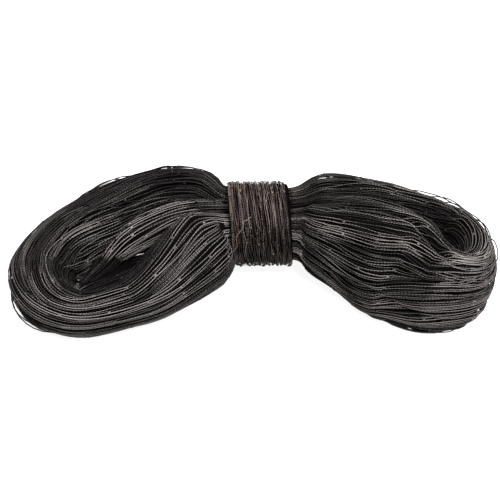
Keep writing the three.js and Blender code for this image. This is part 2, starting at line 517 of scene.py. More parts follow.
class Oval(Bunch):
    """The hank's closed bunch, whose locks wander and have furrows between them"""

    def __init__(self):
        super().__init__(np.column_stack([OVAL, STRAND_TURNS]), True, ROW_PAINTED_TONES)

    def settle(self, angle, place):
        share = self.distance(place) / self.length
        values = self.values(place)
        x = values[:, 0]
        angle = angle - np.radians(values[:, 6])
        wander = 0
        for along, around, reach in WANDER:
            wander = wander + reach * np.sin(TAU * along * share + around * angle)
        starts = np.radians(LOCKS[:, 0])
        turned = (angle - starts[0]) % TAU + starts[0]
        lock = np.searchsorted(starts, turned, side="right") - 1
        after = (lock + 1) % len(LOCKS)
        across = (turned - starts[lock]) / ((starts[after] - starts[lock]) % TAU)
        deep = self.depth(lock, share, x) * (1 - across) + self.depth(after, share, x) * across
        return angle + wander, 1 - deep * (1 - np.sin(math.pi * across)) ** 2

    def depth(self, lock, share, x):
        """Depth of the furrow where a lock starts"""
        ramp = np.clip((np.abs(x) - FURROW["start"]) / (FURROW["full"] - FURROW["start"]), 0, 1)
        swing = np.sin(TAU * FURROW["waves"] * share + FURROW["shift"] * lock)
        side = np.where(x > 0, LOCKS[lock, 1], LOCKS[lock, 2])
        return side * eased(ramp) * (FURROW["mean"] + FURROW["change"] * swing)


class Girth:
    """Angles round a bunch's sections, by even shares of each section's length round"""

    turn_steps = 720

    def __init__(self, bunch, place):
        thick, tall = bunch.values(place)[:, 3:5].T
        self.angles = np.linspace(0, TAU, self.turn_steps + 1)
        sideways = np.outer(thick, np.diff(np.cos(self.angles)))
        upward = np.outer(tall, np.diff(np.sin(self.angles)))
        steps = np.hypot(sideways, upward)
        run = np.concatenate([np.zeros((len(place), 1)), np.cumsum(steps, axis=1)], axis=1)
        self.lengths = run[:, -1]
        self.shares = run / run[:, -1:]

    def angle(self, share):
        """Angles at (strand, station)"""
        rounds = np.floor(share)
        part = (share - rounds).T
        turned = [np.interp(one, shares, self.angles) for one, shares in zip(part, self.shares)]
        return rounds * TAU + np.stack(turned, axis=1)

    def share(self, angle):
        """Share of the length round at an angle of the mean section"""
        rounds = np.floor(angle / TAU)
        return rounds + np.interp(angle - rounds * TAU, self.angles, self.shares.mean(axis=0))


class Rope:
    """Strands side by side, straight from knot to knot, in millimetres across and above a route"""

    def __init__(self, rng, run, count, pitch, bar, touch, jitter, knot_rows=1, gather=0.92):
        """Takes the distances of the stations along the route, the number of strands, their spacing,
        the length of a bar, their spacing at a knot and the knots' unevenness. One in so many pairs
        of rows has knots, and a rope gathers at a row to no less than a share of its width"""
        lag, along, across, high = jitter
        rows = np.arange(math.floor(run[0] / bar) - 1, math.ceil(run[-1] / bar) + 2)
        row = np.arange(len(rows))[:, None]
        strand = np.arange(count)
        partner = strand + np.where((strand + rows[:, None]) % 2 == 0, 1, -1)
        partner = np.where((partner < 0) | (partner >= count), strand, partner)
        lower = np.minimum(strand, partner)
        shape = (len(rows), count)
        at = rows[:, None] * bar + rng.normal(0, lag) + rng.normal(0, along, shape)[row, lower]
        home = (strand - (count - 1) / 2) * pitch
        meet = (home + home[partner]) / 2 * rng.uniform(gather, 1.0, (len(rows), 1))
        meet = meet + (strand - partner) * touch / 2
        meet = meet + rng.normal(0, across, shape)[row, lower]
        rise = rng.normal(0, high, shape)[row, lower]
        self.across = np.stack([np.interp(run, at[:, i], meet[:, i]) for i in strand])
        self.lift = np.stack([np.interp(run, at[:, i], rise[:, i]) for i in strand])
        self.crown = (1 - (2 * home / (count * pitch)) ** 2)[:, None]
        after = np.stack([np.searchsorted(at[:, i], run) for i in strand]).clip(1, len(rows) - 1)
        tones = rng.normal(0, TONE_JITTER["row"], (len(rows), 1))
        tones = tones + rng.normal(0, TONE_JITTER["bar"], shape)
        # Tone of the bar at each station, and the distance along the run to that bar's middle
        self.tone = tones[after, strand[:, None]]
        self.bar = (at[after - 1, strand[:, None]] + at[after, strand[:, None]]) / 2
        # First and second strand of each knot, and its station with a fraction
        knotted = (partner > strand) & (rows[:, None] // 2 % knot_rows == 0)
        number, first = np.nonzero(knotted & (at > run[0]) & (at < run[-1]))
        station = np.interp(at[number, first], run, np.arange(len(run)))
        self.knots = np.stack([first, first + 1, station], axis=1)


def drift(rng, count, run, reach, lengths, waves=3, least=0.4):
    """Smooth random sway of each rope or strand along its run, of waves between two lengths"""
    total = np.zeros((count, len(run)))
    for _ in range(waves):
        length = rng.uniform(*lengths, (count, 1))
        phase = rng.uniform(0, TAU, (count, 1))
        total += np.sin(TAU * run / length + phase) * rng.uniform(least, 1.0, (count, 1))
    return reach * total / math.sqrt(waves)


def shared_flow(rng, share, run):
    """Sway that neighbours share, in shares of the girth, so that ropes crowd here and part there"""
    total = np.zeros((len(share), len(run)))
    for _ in range(FLOW["terms"]):
        waves = rng.integers(*FLOW["around"])
        length = rng.uniform(*FLOW["along"]) * rng.choice((-1, 1))
        phase = rng.uniform(0, TAU)
        turned = TAU * (waves * share[:, None] + run / length) + phase
        total += FLOW["steep"] / waves / TAU * np.sin(turned)
    return total


def array_mesh(name, points, corners, lengths, maps, tones):
    """Object from arrays: points, corners, corners of each face, UV maps and a tone at each point"""
    mesh = bpy.data.meshes.new(name)
    mesh.vertices.add(len(points))
    mesh.vertices.foreach_set("co", points.astype(np.float32).ravel())
    mesh.loops.add(len(corners))
    mesh.loops.foreach_set("vertex_index", corners.astype(np.int32))
    mesh.polygons.add(len(lengths))
    mesh.polygons.foreach_set("loop_start", (np.cumsum(lengths) - lengths).astype(np.int32))
    mesh.update(calc_edges=True)
    mesh.shade_smooth()
    for title, places in maps.items():
        layer = mesh.uv_layers.new(name=title)
        layer.uv.foreach_set("vector", places.astype(np.float32).ravel())
    tone = mesh.attributes.new("strand_tone", "FLOAT", "POINT")
    tone.data.foreach_set("value", tones.astype(np.float32))
    return bpy.data.objects.new(name, mesh)


class Net:
    """Gathers round strands and their knots, and joins them in one mesh of each"""

    # Share of a strand's strip of the UV map that stays bare on each side
    strip_margin = 0.1

    # Knot: sides, rings, stretch along, across and off the bunch, fall in tone and its upper limit
    knot_sides = 6
    knot_rings = 4
    knot_stretch = np.array([[1.1], [1.0], [0.8]])
    knot_fall = 0.1
    palest_knot = 1.2

    def __init__(self, twine, sides, scale=1.0):
        self.twine = twine
        self.sides = sides
        self.radius = scale * twine.thickness / 2
        self.strands = []
        self.knots = []

    def add(self, points, ups, tones, rope=None):
        """Takes strands as (strand, station, xyz) in table millimetres and tones as (strand, station),
        and keeps the strands off the floor"""
        points = points.copy()
        points[..., 2] = np.maximum(points[..., 2], self.radius / MM)
        points = (points + SHIFT) * MM
        self.strands.append((points, ups, np.broadcast_to(tones, points.shape[:2])))
        if rope is None or len(rope.knots) == 0:
            return
        first, second = rope.knots[:, :2].astype(int).T
        low = np.minimum(rope.knots[:, 2].astype(int), points.shape[1] - 2)
        f = (rope.knots[:, 2] - low)[:, None]
        both = (points[first] + points[second]) / 2
        knot = np.arange(len(first))
        middle = both[knot, low] * (1 - f) + both[knot, low + 1] * f
        along = both[knot, low + 1] - both[knot, low]
        self.knots.append((middle, unit(along), ups[first, low], self.strands[-1][2][first, low]))

    def strand_object(self, name):
        """One mesh of all the strands, each a tube with closed ends"""
        sides = self.sides
        turn = (np.arange(sides) / sides - 0.5) * TAU
        parts = {key: [] for key in ("points", "walls", "caps", "wall_maps", "cap_maps", "tones")}
        vertices = 0
        total = sum(len(points) for points, _, _ in self.strands)
        laid = 0
        for points, ups, tones in self.strands:
            count, stations = points.shape[:2]
            along = unit(np.gradient(points, axis=1))
            side = unit(np.cross(along, ups))
            up = np.cross(side, along)
            ring = np.cos(turn)[:, None] * up[:, :, None] + np.sin(turn)[:, None] * side[:, :, None]
            parts["points"].append((points[:, :, None] + self.radius * ring).reshape(-1, 3))
            index = vertices + np.arange(count * stations * sides).reshape(count, stations, sides)
            after = np.roll(index, -1, axis=2)
            walls = np.stack([index[:, :-1], after[:, :-1], after[:, 1:], index[:, 1:]], axis=-1)
            parts["walls"].append(walls.ravel())
            parts["caps"].append(np.concatenate([index[:, 0, ::-1], index[:, -1]]).ravel())
            parts["tones"].append(np.repeat(tones.ravel(), sides))
            maps = self.strand_maps(points, laid, total)
            near, far = maps[:, :-1], maps[:, 1:]
            walls = np.stack([near[:, :, :-1], near[:, :, 1:], far[:, :, 1:], far[:, :, :-1]], axis=-2)
            parts["wall_maps"].append(walls.reshape(-1, 4))
            parts["cap_maps"].append(np.concatenate([maps[:, 0, -2::-1], maps[:, -1, :-1]]).reshape(-1, 4))
            vertices += count * stations * sides
            laid += count
        joined = {key: np.concatenate(part) for key, part in parts.items()}
        corners = np.concatenate([joined["walls"], joined["caps"]])
        lengths = np.repeat([4, sides], [len(joined["walls"]) // 4, len(joined["caps"]) // sides])
        maps = np.concatenate([joined["wall_maps"], joined["cap_maps"]])
        return array_mesh(name, joined["points"], corners, lengths,
                          {"Plies": maps[:, :2], "OFBake": maps[:, 2:]}, joined["tones"])

    def strand_maps(self, points, laid, total):
        """UV places at (strand, station, side): metres along and share round, then packed strips"""
        count, stations = points.shape[:2]
        steps = np.linalg.norm(np.diff(points, axis=1), axis=-1)
        run = np.concatenate([np.zeros((count, 1)), np.cumsum(steps, axis=1)], axis=1)[..., None]
        share = np.arange(self.sides + 1) / self.sides
        strand = laid + np.arange(count)[:, None, None]
        station = np.arange(stations)[None, :, None]
        run = run * (1 + TWIST_CHANGE * np.sin(GOLDEN_ANGLE * strand))
        run = run + PLY_LAG * self.twine.twist * strand
        strip = (strand + self.strip_margin + (1 - 2 * self.strip_margin) * share) / total
        places = np.broadcast_arrays(run, share, station / (stations - 1), strip)
        return np.stack(places, axis=-1)

    def knot_ball(self):
        """Points of a ball one wide and the corners of its faces, in the same order each run"""
        shape = bmesh.new()
        bmesh.ops.create_uvsphere(
            shape, u_segments=self.knot_sides, v_segments=self.knot_rings, radius=0.5)
        verts = sorted(shape.verts, key=lambda vert: vert.co.to_tuple(4))
        order = {vert: number for number, vert in enumerate(verts)}
        points = np.array([vert.co for vert in verts])
        faces = [[order[vert] for vert in face.verts] for face in shape.faces]
        shape.free()
        lowest = [face.index(min(face)) for face in faces]
        return points, sorted(face[first:] + face[:first] for face, first in zip(faces, lowest))

    def knot_object(self, name):
        """One mesh of all the knots, small round lumps a little longer than high"""
        middles, alongs, ups, tones = (np.concatenate(part) for part in zip(*self.knots))
        ball, faces = self.knot_ball()
        width = self.twine.knot
        sides = unit(np.cross(ups, alongs))
        axes = np.stack([alongs, sides, np.cross(alongs, sides)], axis=1) * self.knot_stretch * width
        points = middles[:, None] + np.einsum("pk,nkc->npc", ball, axes)
        knot = np.arange(len(middles))[:, None]
        vert = np.concatenate(faces)
        corners = (vert + len(ball) * knot).ravel()
        lengths = np.tile([len(face) for face in faces], len(middles))
        along = ball[vert, 0] + 0.5
        share = np.arctan2(ball[vert, 1], ball[vert, 2]) / TAU + 0.5
        cells = math.ceil(math.sqrt(len(middles)))
        plies = np.stack(np.broadcast_arrays(along * width + 0 * knot, share), axis=-1)
        strips = np.stack([(knot % cells + along) / cells, (knot // cells + share) / cells], axis=-1)
        tones = np.clip(tones - self.knot_fall, 0, self.palest_knot)
        return array_mesh(name, points.reshape(-1, 3), corners, lengths,
                          {"Plies": plies.reshape(-1, 2), "OFBake": strips.reshape(-1, 2)},
                          np.repeat(tones, len(ball)))


def rope_counts(rng, pitch, room):
    """Strands in each rope, for ropes that fill a width in millimetres to within half a rope"""
    half_rope = sum(ROPE_STRANDS) / 4 * pitch
    counts = []
    while sum(counts) * pitch + len(counts) * ROPE_GAP < room - half_rope:
        counts.append(int(rng.integers(*ROPE_STRANDS)))
    return counts


def kept_widths(count, girths, upper):
    """Share of its width that each rope keeps at each station, less where the bunch narrows or
    where fewer ropes lie on top"""
    window = 2 * SINK_STATIONS + 1
    padded = np.pad(girths * upper, SINK_STATIONS, mode="edge")
    even = np.convolve(padded, np.ones(window) / window, mode="valid") / girths.max()
    rank = GOLDEN_SHARE * np.arange(1, count + 1) % 1
    above = SINK_SHARE * even ** SINK_POWER - rank[:, None]
    return np.clip(above / SINK_RAMP + 0.5, SINK_WIDTH, 1)


def lay_round(rng, net, bunch, stretch, part, sink, tone, span=(0, 360), dive=0, glint=0):
    """Lays ropes side by side round a bunch, between two of its rows and two angles in degrees,
    which may dive and glint at their far end. Some ropes sink where the bunch narrows"""
    twine = net.twine
    place = bunch.places(*stretch, twine.step / MM)
    run = bunch.distance(place) - KNOT_START[part]
    girth = Girth(bunch, place)
    upper = bunch.topmost(place)
    first, last = girth.share(np.radians(np.array(span, float)))
    pitch = twine.spacing / MM * SPREAD[part]
    counts = rope_counts(rng, pitch, (last - first) * girth.lengths.max())
    kept = kept_widths(len(counts), girth.lengths, upper)
    widths = (np.array(counts) * pitch + ROPE_GAP)[:, None] * kept
    edges = np.cumsum(widths, axis=0)
    centres = first + (last - first) * (edges - widths / 2) / edges[-1]
    spread = np.maximum(kept, SINK_SPREAD) * (last - first) / edges[-1]
    centres = centres + shared_flow(rng, centres.mean(axis=1), run)
    centres = centres + drift(rng, len(counts), run, ROPE_SWAY, SWAY_WAVES) / girth.lengths
    tip = np.clip(1 - (run[-1] - run) / TIP_LENGTH, 0, 1) ** 2
    heave = drift(rng, len(counts), run, ROPE_HEAVE, HEAVE_WAVES)
    heave = heave - SINK_DEPTH * (1 - kept) ** 2 - dive * tip
    for number, count in enumerate(counts):
        rope = Rope(rng, run, count, pitch, twine.mesh_bar / MM, ROPE_TOUCH * pitch, KNOT_JITTER[part])
        angle = girth.angle(centres[number] + rope.across * spread[number])
        lift = np.minimum(heave[number] + rope.lift, ROPE_HEAVE) + ROPE_CROWN * (rope.crown - 1)
        points, ups, swell = bunch.lay(place, angle, lift - sink)
        # Tone: random unevenness of ropes, strands and bars, then painted light and shade: the glint at
        # the tips, the tables' tones, light on the side that faces down, shade in furrows, lighter or
        # darker by height over the layer, and shade on the under layer where few ropes lie on top
        tones = tone + rng.normal(0, TONE_JITTER["rope"])
        tones = tones + rng.normal(0, TONE_JITTER["strand"], (count, 1)) + rope.tone + glint * tip
        tones = tones + bunch.tone(np.interp(rope.bar, run, place), angle)
        tones = tones + LOW_SIDE_LIGHT * np.clip(-np.sin(angle), 0, 1) - FURROW_SHADE * (1 - swell)
        tones = tones + DEPTH_SHADE * lift - max(sink, 0) * (1 - upper)
        net.add(points, ups, tones, rope)


def shrunk_copy(node, name, depth, least=1.0):
    """Copy of a solid, drawn in by a depth, or by its least share at the floor, that closes the
    gaps under the strands"""
    shape = bmesh.new()
    shape.from_mesh(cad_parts[node].data)
    bmesh.ops.remove_doubles(shape, verts=shape.verts, dist=CORE_MERGE)
    shape.normal_update()
    inward = [vert.normal * -depth * min(1, least + vert.co.z / RIM_HEIGHT) for vert in shape.verts]
    for vert, move in zip(shape.verts, inward):
        vert.co += move
    bmesh.ops.smooth_vert(
        shape, verts=shape.verts, factor=CORE_SMOOTH, use_axis_x=True, use_axis_y=True, use_axis_z=True)
    for vert in shape.verts:
        vert.co.z = max(vert.co.z, depth * CORE_CLEAR)
    mesh = bpy.data.meshes.new(name)
    shape.to_mesh(mesh)
    shape.free()
    mesh.shade_smooth()
    return bpy.data.objects.new(name, mesh)


def add_piece(piece, material, slot, *stands_for):
    """Links a piece, gives it its finish and lets it ride on the hank's body"""
    bpy.context.scene.collection.objects.link(piece)
    piece.data.materials.append(material)
    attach(piece, "root")
    if stands_for:
        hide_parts(*stands_for)


def group_socket(group, name, direction, default=None):
    socket = group.interface.new_socket(name=name, in_out=direction, socket_type="NodeSocketFloat")
    if default is not None:
        socket.default_value = default


def maths(tree, operation, first, second=None):
    """Output of a Math node whose inputs are links or numbers"""
    node = tree.nodes.new("ShaderNodeMath")
    node.operation = operation
    for socket, value in zip(node.inputs, (first, second)):
        if isinstance(value, (int, float)):
            socket.default_value = value
        elif value is not None:
            tree.links.new(value, socket)
    return node.outputs[0]


def from_middle(tree, value, middle, gain):
    """Output of nodes that count a value from its middle and multiply it"""
    return maths(tree, "MULTIPLY", maths(tree, "SUBTRACT", value, middle), gain)


def ply_group():
    """Ridges of the plies where they cross the twine, and the crest of its outer side: masks for painted
    highlights, the ridges also for relief
    """
    found = bpy.data.node_groups.get("twisted_plies")
    if found:
        return found
    group = bpy.data.node_groups.new("twisted_plies", "ShaderNodeTree")
    group_socket(group, "Twist", "INPUT")
    group_socket(group, "Ridge", "OUTPUT")
    group_socket(group, "Crest Highlight", "OUTPUT")
    put = group.nodes.new("NodeGroupInput")
    get = group.nodes.new("NodeGroupOutput")
    plies = group.nodes.new("ShaderNodeUVMap")
    plies.uv_map = "Plies"
    parts = group.nodes.new("ShaderNodeSeparateXYZ")
    group.links.new(plies.outputs["UV"], parts.inputs[0])
    turns = maths(group, "DIVIDE", parts.outputs["X"], put.outputs["Twist"])
    plied = maths(group, "ADD", maths(group, "MULTIPLY", turns, PLIES), parts.outputs["Y"])
    ridge = maths(group, "ABSOLUTE", maths(group, "SINE", maths(group, "MULTIPLY", plied, math.pi)))
    group.links.new(ridge, get.inputs["Ridge"])
    crest = maths(group, "COSINE", maths(group, "MULTIPLY", parts.outputs["Y"], TAU))
    group.links.new(maths(group, "MULTIPLY", crest, -1.0), get.inputs["Crest Highlight"])
    return group


def mottle_group():
    """Slow and fine mottling on Object coordinates, as two masks"""
    found = bpy.data.node_groups.get("twine_mottle")
    if found:
        return found
    group = bpy.data.node_groups.new("twine_mottle", "ShaderNodeTree")
    put = group.nodes.new("NodeGroupInput")
    get = group.nodes.new("NodeGroupOutput")
    place = group.nodes.new("ShaderNodeTexCoord")
    for mask, scale, detail in MOTTLE:
        group_socket(group, f"{mask} Scale", "INPUT", scale)
        group_socket(group, mask, "OUTPUT")
        noise = group.nodes.new("ShaderNodeTexNoise")
        noise.inputs["Detail"].default_value = detail
        group.links.new(place.outputs["Object"], noise.inputs["Vector"])
        group.links.new(put.outputs[f"{mask} Scale"], noise.inputs["Scale"])
        group.links.new(noise.outputs["Fac"], get.inputs[mask])
    return group


def new_material(name):
    """New material, its node tree and its shader"""
    material = bpy.data.materials.new(name)
    material.use_nodes = True
    return material, material.node_tree, material.node_tree.nodes["Principled BSDF"]


def placed_group(tree, group):
    node = tree.nodes.new("ShaderNodeGroup")
    node.node_tree = group
    return node


def colour_ramp(tree, mask, shader, first, last):
    """Ramp of two colours from a mask to a shader's base colour"""
    node = tree.nodes.new("ShaderNodeValToRGB")
    node.color_ramp.elements[0].color = (*first, 1)
    node.color_ramp.elements[1].color = (*last, 1)
    tree.links.new(mask, node.inputs["Fac"])
    tree.links.new(node.outputs["Color"], shader.inputs["Base Color"])
    return node.color_ramp


def add_relief(tree, mask, shader, distance, strength=1.0):
    """Bump from a mask to a shader's normal"""
    relief = tree.nodes.new("ShaderNodeBump")
    relief.inputs["Strength"].default_value = strength
    relief.inputs["Distance"].default_value = distance
    tree.links.new(mask, relief.inputs["Height"])
    tree.links.new(relief.outputs["Normal"], shader.inputs["Normal"])


def twine_material(name, hollow, shade, tint, twist, roughness):
    """Twisted nylon twine: a tone along each strand, much of it painted light and shade, mottling, painted
    highlights on the ply ridges and on each strand's crest, and plies in relief
    """
    material, tree, shader = new_material(name)
    plies = placed_group(tree, ply_group())
    plies.inputs["Twist"].default_value = twist
    mottle = placed_group(tree, mottle_group())
    tone = tree.nodes.new("ShaderNodeAttribute")
    tone.attribute_name = "strand_tone"
    fibre = maths(tree, "MULTIPLY", mottle.outputs["Fibre"], FIBRE_SHARE)
    specks = from_middle(tree, maths(tree, "ADD", mottle.outputs["Patch"], fibre), *SPECKS)
    # Painted highlights: beads along the ply ridges, and a light line down each strand's crest with
    # painted shade at its sides
    ridge = from_middle(tree, plies.outputs["Ridge"], *RIDGE_HIGHLIGHTS)
    crest = from_middle(tree, plies.outputs["Crest Highlight"], *CREST_HIGHLIGHTS)
    blend = maths(tree, "ADD", tone.outputs["Fac"], specks)
    blend = maths(tree, "ADD", blend, maths(tree, "ADD", ridge, crest))
    ramp = colour_ramp(tree, blend, shader, hollow, tint)
    ramp.elements.new(SHADE_PLACE).color = (*shade, 1)
    gloss = maths(tree, "MULTIPLY", mottle.outputs["Fibre"], ROUGHNESS_CHANGE)
    gloss = maths(tree, "ADD", gloss, roughness - ROUGHNESS_CHANGE / 2)
    tree.links.new(gloss, shader.inputs["Roughness"])
    add_relief(tree, plies.outputs["Ridge"], shader, PLY_RELIEF, PLY_STRENGTH)
    shader.inputs["Specular IOR Level"].default_value = TWINE_SHINE
    return material


def core_material():
    """Depth of the bunch between its strands, nearly black with painted shade"""
    found = bpy.data.materials.get("bunch_depth_shade")
    if found:
        return found
    material, tree, shader = new_material("bunch_depth_shade")
    mottle = placed_group(tree, mottle_group())
    mottle.inputs["Fibre Scale"].default_value = CORE_FIBRES
    colour_ramp(tree, mottle.outputs["Fibre"], shader, *CORE_SHADE_COLOURS)
    add_relief(tree, mottle.outputs["Fibre"], shader, CORE_RELIEF)
    shader.inputs["Roughness"].default_value = CORE_ROUGHNESS
    shader.inputs["Specular IOR Level"].default_value = 0.0
    return material


def net_twine(twine):
    found = bpy.data.materials.get("plied_net")
    colours = (twine.hollow, twine.shade, twine.tint)
    return found or twine_material("plied_net", *colours, twine.twist, NET_ROUGHNESS)


def wrap_twine(twine):
    found = bpy.data.materials.get("plied_wrap")
    colours = (twine.hollow, twine.wrap_shade, twine.wrap_tint)
    return found or twine_material("plied_wrap", *colours, twine.twist, WRAP_ROUGHNESS)


def add_net(net, name, finish, slot):
    """Adds a net's strands and its knots as two pieces"""
    add_piece(net.strand_object(f"{name}_strands"), finish, slot)
    add_piece(net.knot_object(f"{name}_knots"), finish, slot)


class HANK_OT_core(bpy.types.Operator):
    """Make the depth of the bunch under its strands, dark with painted shade"""

    bl_idname = "net_hank.core"
    bl_label = "Bunch Core"

    def execute(self, context):
        depth = CORE_DEPTH["net_hank"] * context.scene.hank_twine.thickness
        core = shrunk_copy("net_hank", "bunch_core", depth, CORE_RIM)
        add_piece(core, core_material(), "net_twine", "net_hank")
        return {"FINISHED"}


class HANK_OT_lobes(bpy.types.Operator):
    """Lay the strands and knots of both lobes, in two layers each"""

    bl_idname = "net_hank.lobes"
    bl_label = "Lobe Strands"

    seed = 11

    # Layers: name, millimetres under the bunch's surface, sides of a strand, tone. The under layer's
    # lower tone is painted shade between the outer strands
    layers = (("under", 0.6, 4, 0.48), ("outer", -0.6, 6, 0.66))

    def execute(self, context):
        twine = context.scene.hank_twine
        oval = Oval()
        rng = np.random.default_rng(self.seed)
        for lobe, stretch in LOBES.items():
            for layer, sink, sides, tone in self.layers:
                net = Net(twine, sides)
                lay_round(rng, net, oval, stretch, lobe, sink, tone)
                add_piece(net.strand_object(f"{lobe}_{layer}_strands"), net_twine(twine), "net_twine")
            # Only the outer layer's knots show
            add_piece(net.knot_object(f"{lobe}_knots"), net_twine(twine), "net_twine")
        return {"FINISHED"}


class HANK_OT_crossing(bpy.types.Operator):
    """Lay the locks that cross over the others"""

    bl_idname = "net_hank.crossing"
    bl_label = "Crossing Locks"

    seed = 23
    sides = 5

    # Spacing of the strands against the bunch's own, sway in millimetres and its shortest and
    # longest wave, depth in millimetres of a lock's ends and how steeply they come up
    spacing = 1.2
    sway = 1.2
    sway_waves = (70, 160)
    tuck = 3.0
    steep = 6

    # Tone, its unevenness between locks and between strands, and its fall in furrows and at the sides,
    # which is painted shade
    tone = 0.6
    lock_jitter = 0.08
    strand_jitter = 0.12
    furrow_shade_fall = 1.2
    side_shade_fall = 0.16

    def execute(self, context):
        twine = context.scene.hank_twine
        oval = Oval()
        rng = np.random.default_rng(self.seed)
        nets = {lobe: Net(twine, self.sides) for lobe in LOBES}
        for lobe, *lock in CROSSING_LOCKS:
            self.lay_lock(rng, nets[lobe], oval, lobe, *lock)
        for lobe, net in nets.items():
            add_net(net, f"{lobe}_crossing", net_twine(twine), "net_twine")
        return {"FINISHED"}

    def lay_lock(self, rng, net, oval, lobe, first, last, start, end, count, height):
        """Lays one lock, which comes up out of the bunch and goes down into it"""
        twine = net.twine
        place = oval.places(first, last, twine.step / MM)
        run = oval.distance(place) - KNOT_START[lobe]
        girth = Girth(oval, place)
        f = np.linspace(0, 1, len(place))
        middle = girth.share(np.radians(start + short_turn(start, end) * eased(f)))
        pitch = self.spacing * twine.spacing / MM * SPREAD[lobe]
        rope = Rope(rng, run, count, pitch, twine.mesh_bar / MM, ROPE_TOUCH * pitch, KNOT_JITTER[lobe])
        sway = drift(rng, 1, run, self.sway, self.sway_waves)
        angle = girth.angle(middle + (sway + rope.across) / girth.lengths)
        arch = np.minimum(1, self.steep * f * (1 - f)) ** 0.5
        lift = (height + self.tuck) * arch - self.tuck + ROPE_CROWN * (rope.crown - 1) + rope.lift
        points, ups, swell = oval.lay(place, angle, lift)
        tones = self.tone + rng.normal(0, self.lock_jitter)
        tones = tones + rng.normal(0, self.strand_jitter, (count, 1)) + rope.tone
        # Painted light and shade from the oval's tables, and painted shade in furrows and at the lock's
        # sides
        tones = tones + oval.tone(np.interp(rope.bar, run, place), angle)
        tones = tones - self.furrow_shade_fall * (1 - swell) - self.side_shade_fall * (1 - rope.crown)
        net.add(points, ups, tones, rope)


class HANK_OT_eye(bpy.types.Operator):
    """Lay the strands of the lock and the low folds inside the left eye"""

    bl_idname = "net_hank.eye"
    bl_label = "Eye Strands"

    seed = 37
    sides = 5

    # Parts of the lock that fan out over the eye: first and last angle in degrees, last row
    fan_parts = ((30, 75, 5.1), (75, 110, 4.9), (110, 150, 4.7), (150, 200, 4.4))

    # First row of the fan, its tone, and its dive in millimetres and its glint at the tips
    fan_start = 0.3
    fan_tone = 0.74
    fan_dive = 2
    fan_glint = 0.4

    # Dark strands, whose low tone is painted shade in the eye's pocket: tone, rows left bare at both
    # ends, millimetres under the surface of the lock, of the folds on the floor, and twice of the folds
    # under the lock
    depth_shade_tone = -0.3
    depth_start = 0.1
    depth_end = 0.05
    depth_sinks = (1.0, 1.0, 1.0, 4.0)

    def execute(self, context):
        twine = context.scene.hank_twine
        rng = np.random.default_rng(self.seed)
        lock = Bunch(EYE_LOCK)
        floor = Bunch(EYE_FLOOR, tones=FLOOR_PAINTED_TONES)
        fill = Bunch(EYE_FILL, tones=FILL_PAINTED_TONES)
        fan = Net(twine, self.sides)
        for first, last, end in self.fan_parts:
            lay_round(rng, fan, lock, (self.fan_start, end), "eye", 0, self.fan_tone,
                      (first, last), self.fan_dive, self.fan_glint)
        depth = Net(twine, self.sides)
        for bunch, sink in zip((lock, floor, fill, fill), self.depth_sinks):
            stretch = (self.depth_start, bunch.count - 1 - self.depth_end)
            lay_round(rng, depth, bunch, stretch, "eye", sink, self.depth_shade_tone)
        for name, net in (("eye_fan", fan), ("eye_depth", depth)):
            add_net(net, name, net_twine(twine), "net_twine")
        return {"FINISHED"}


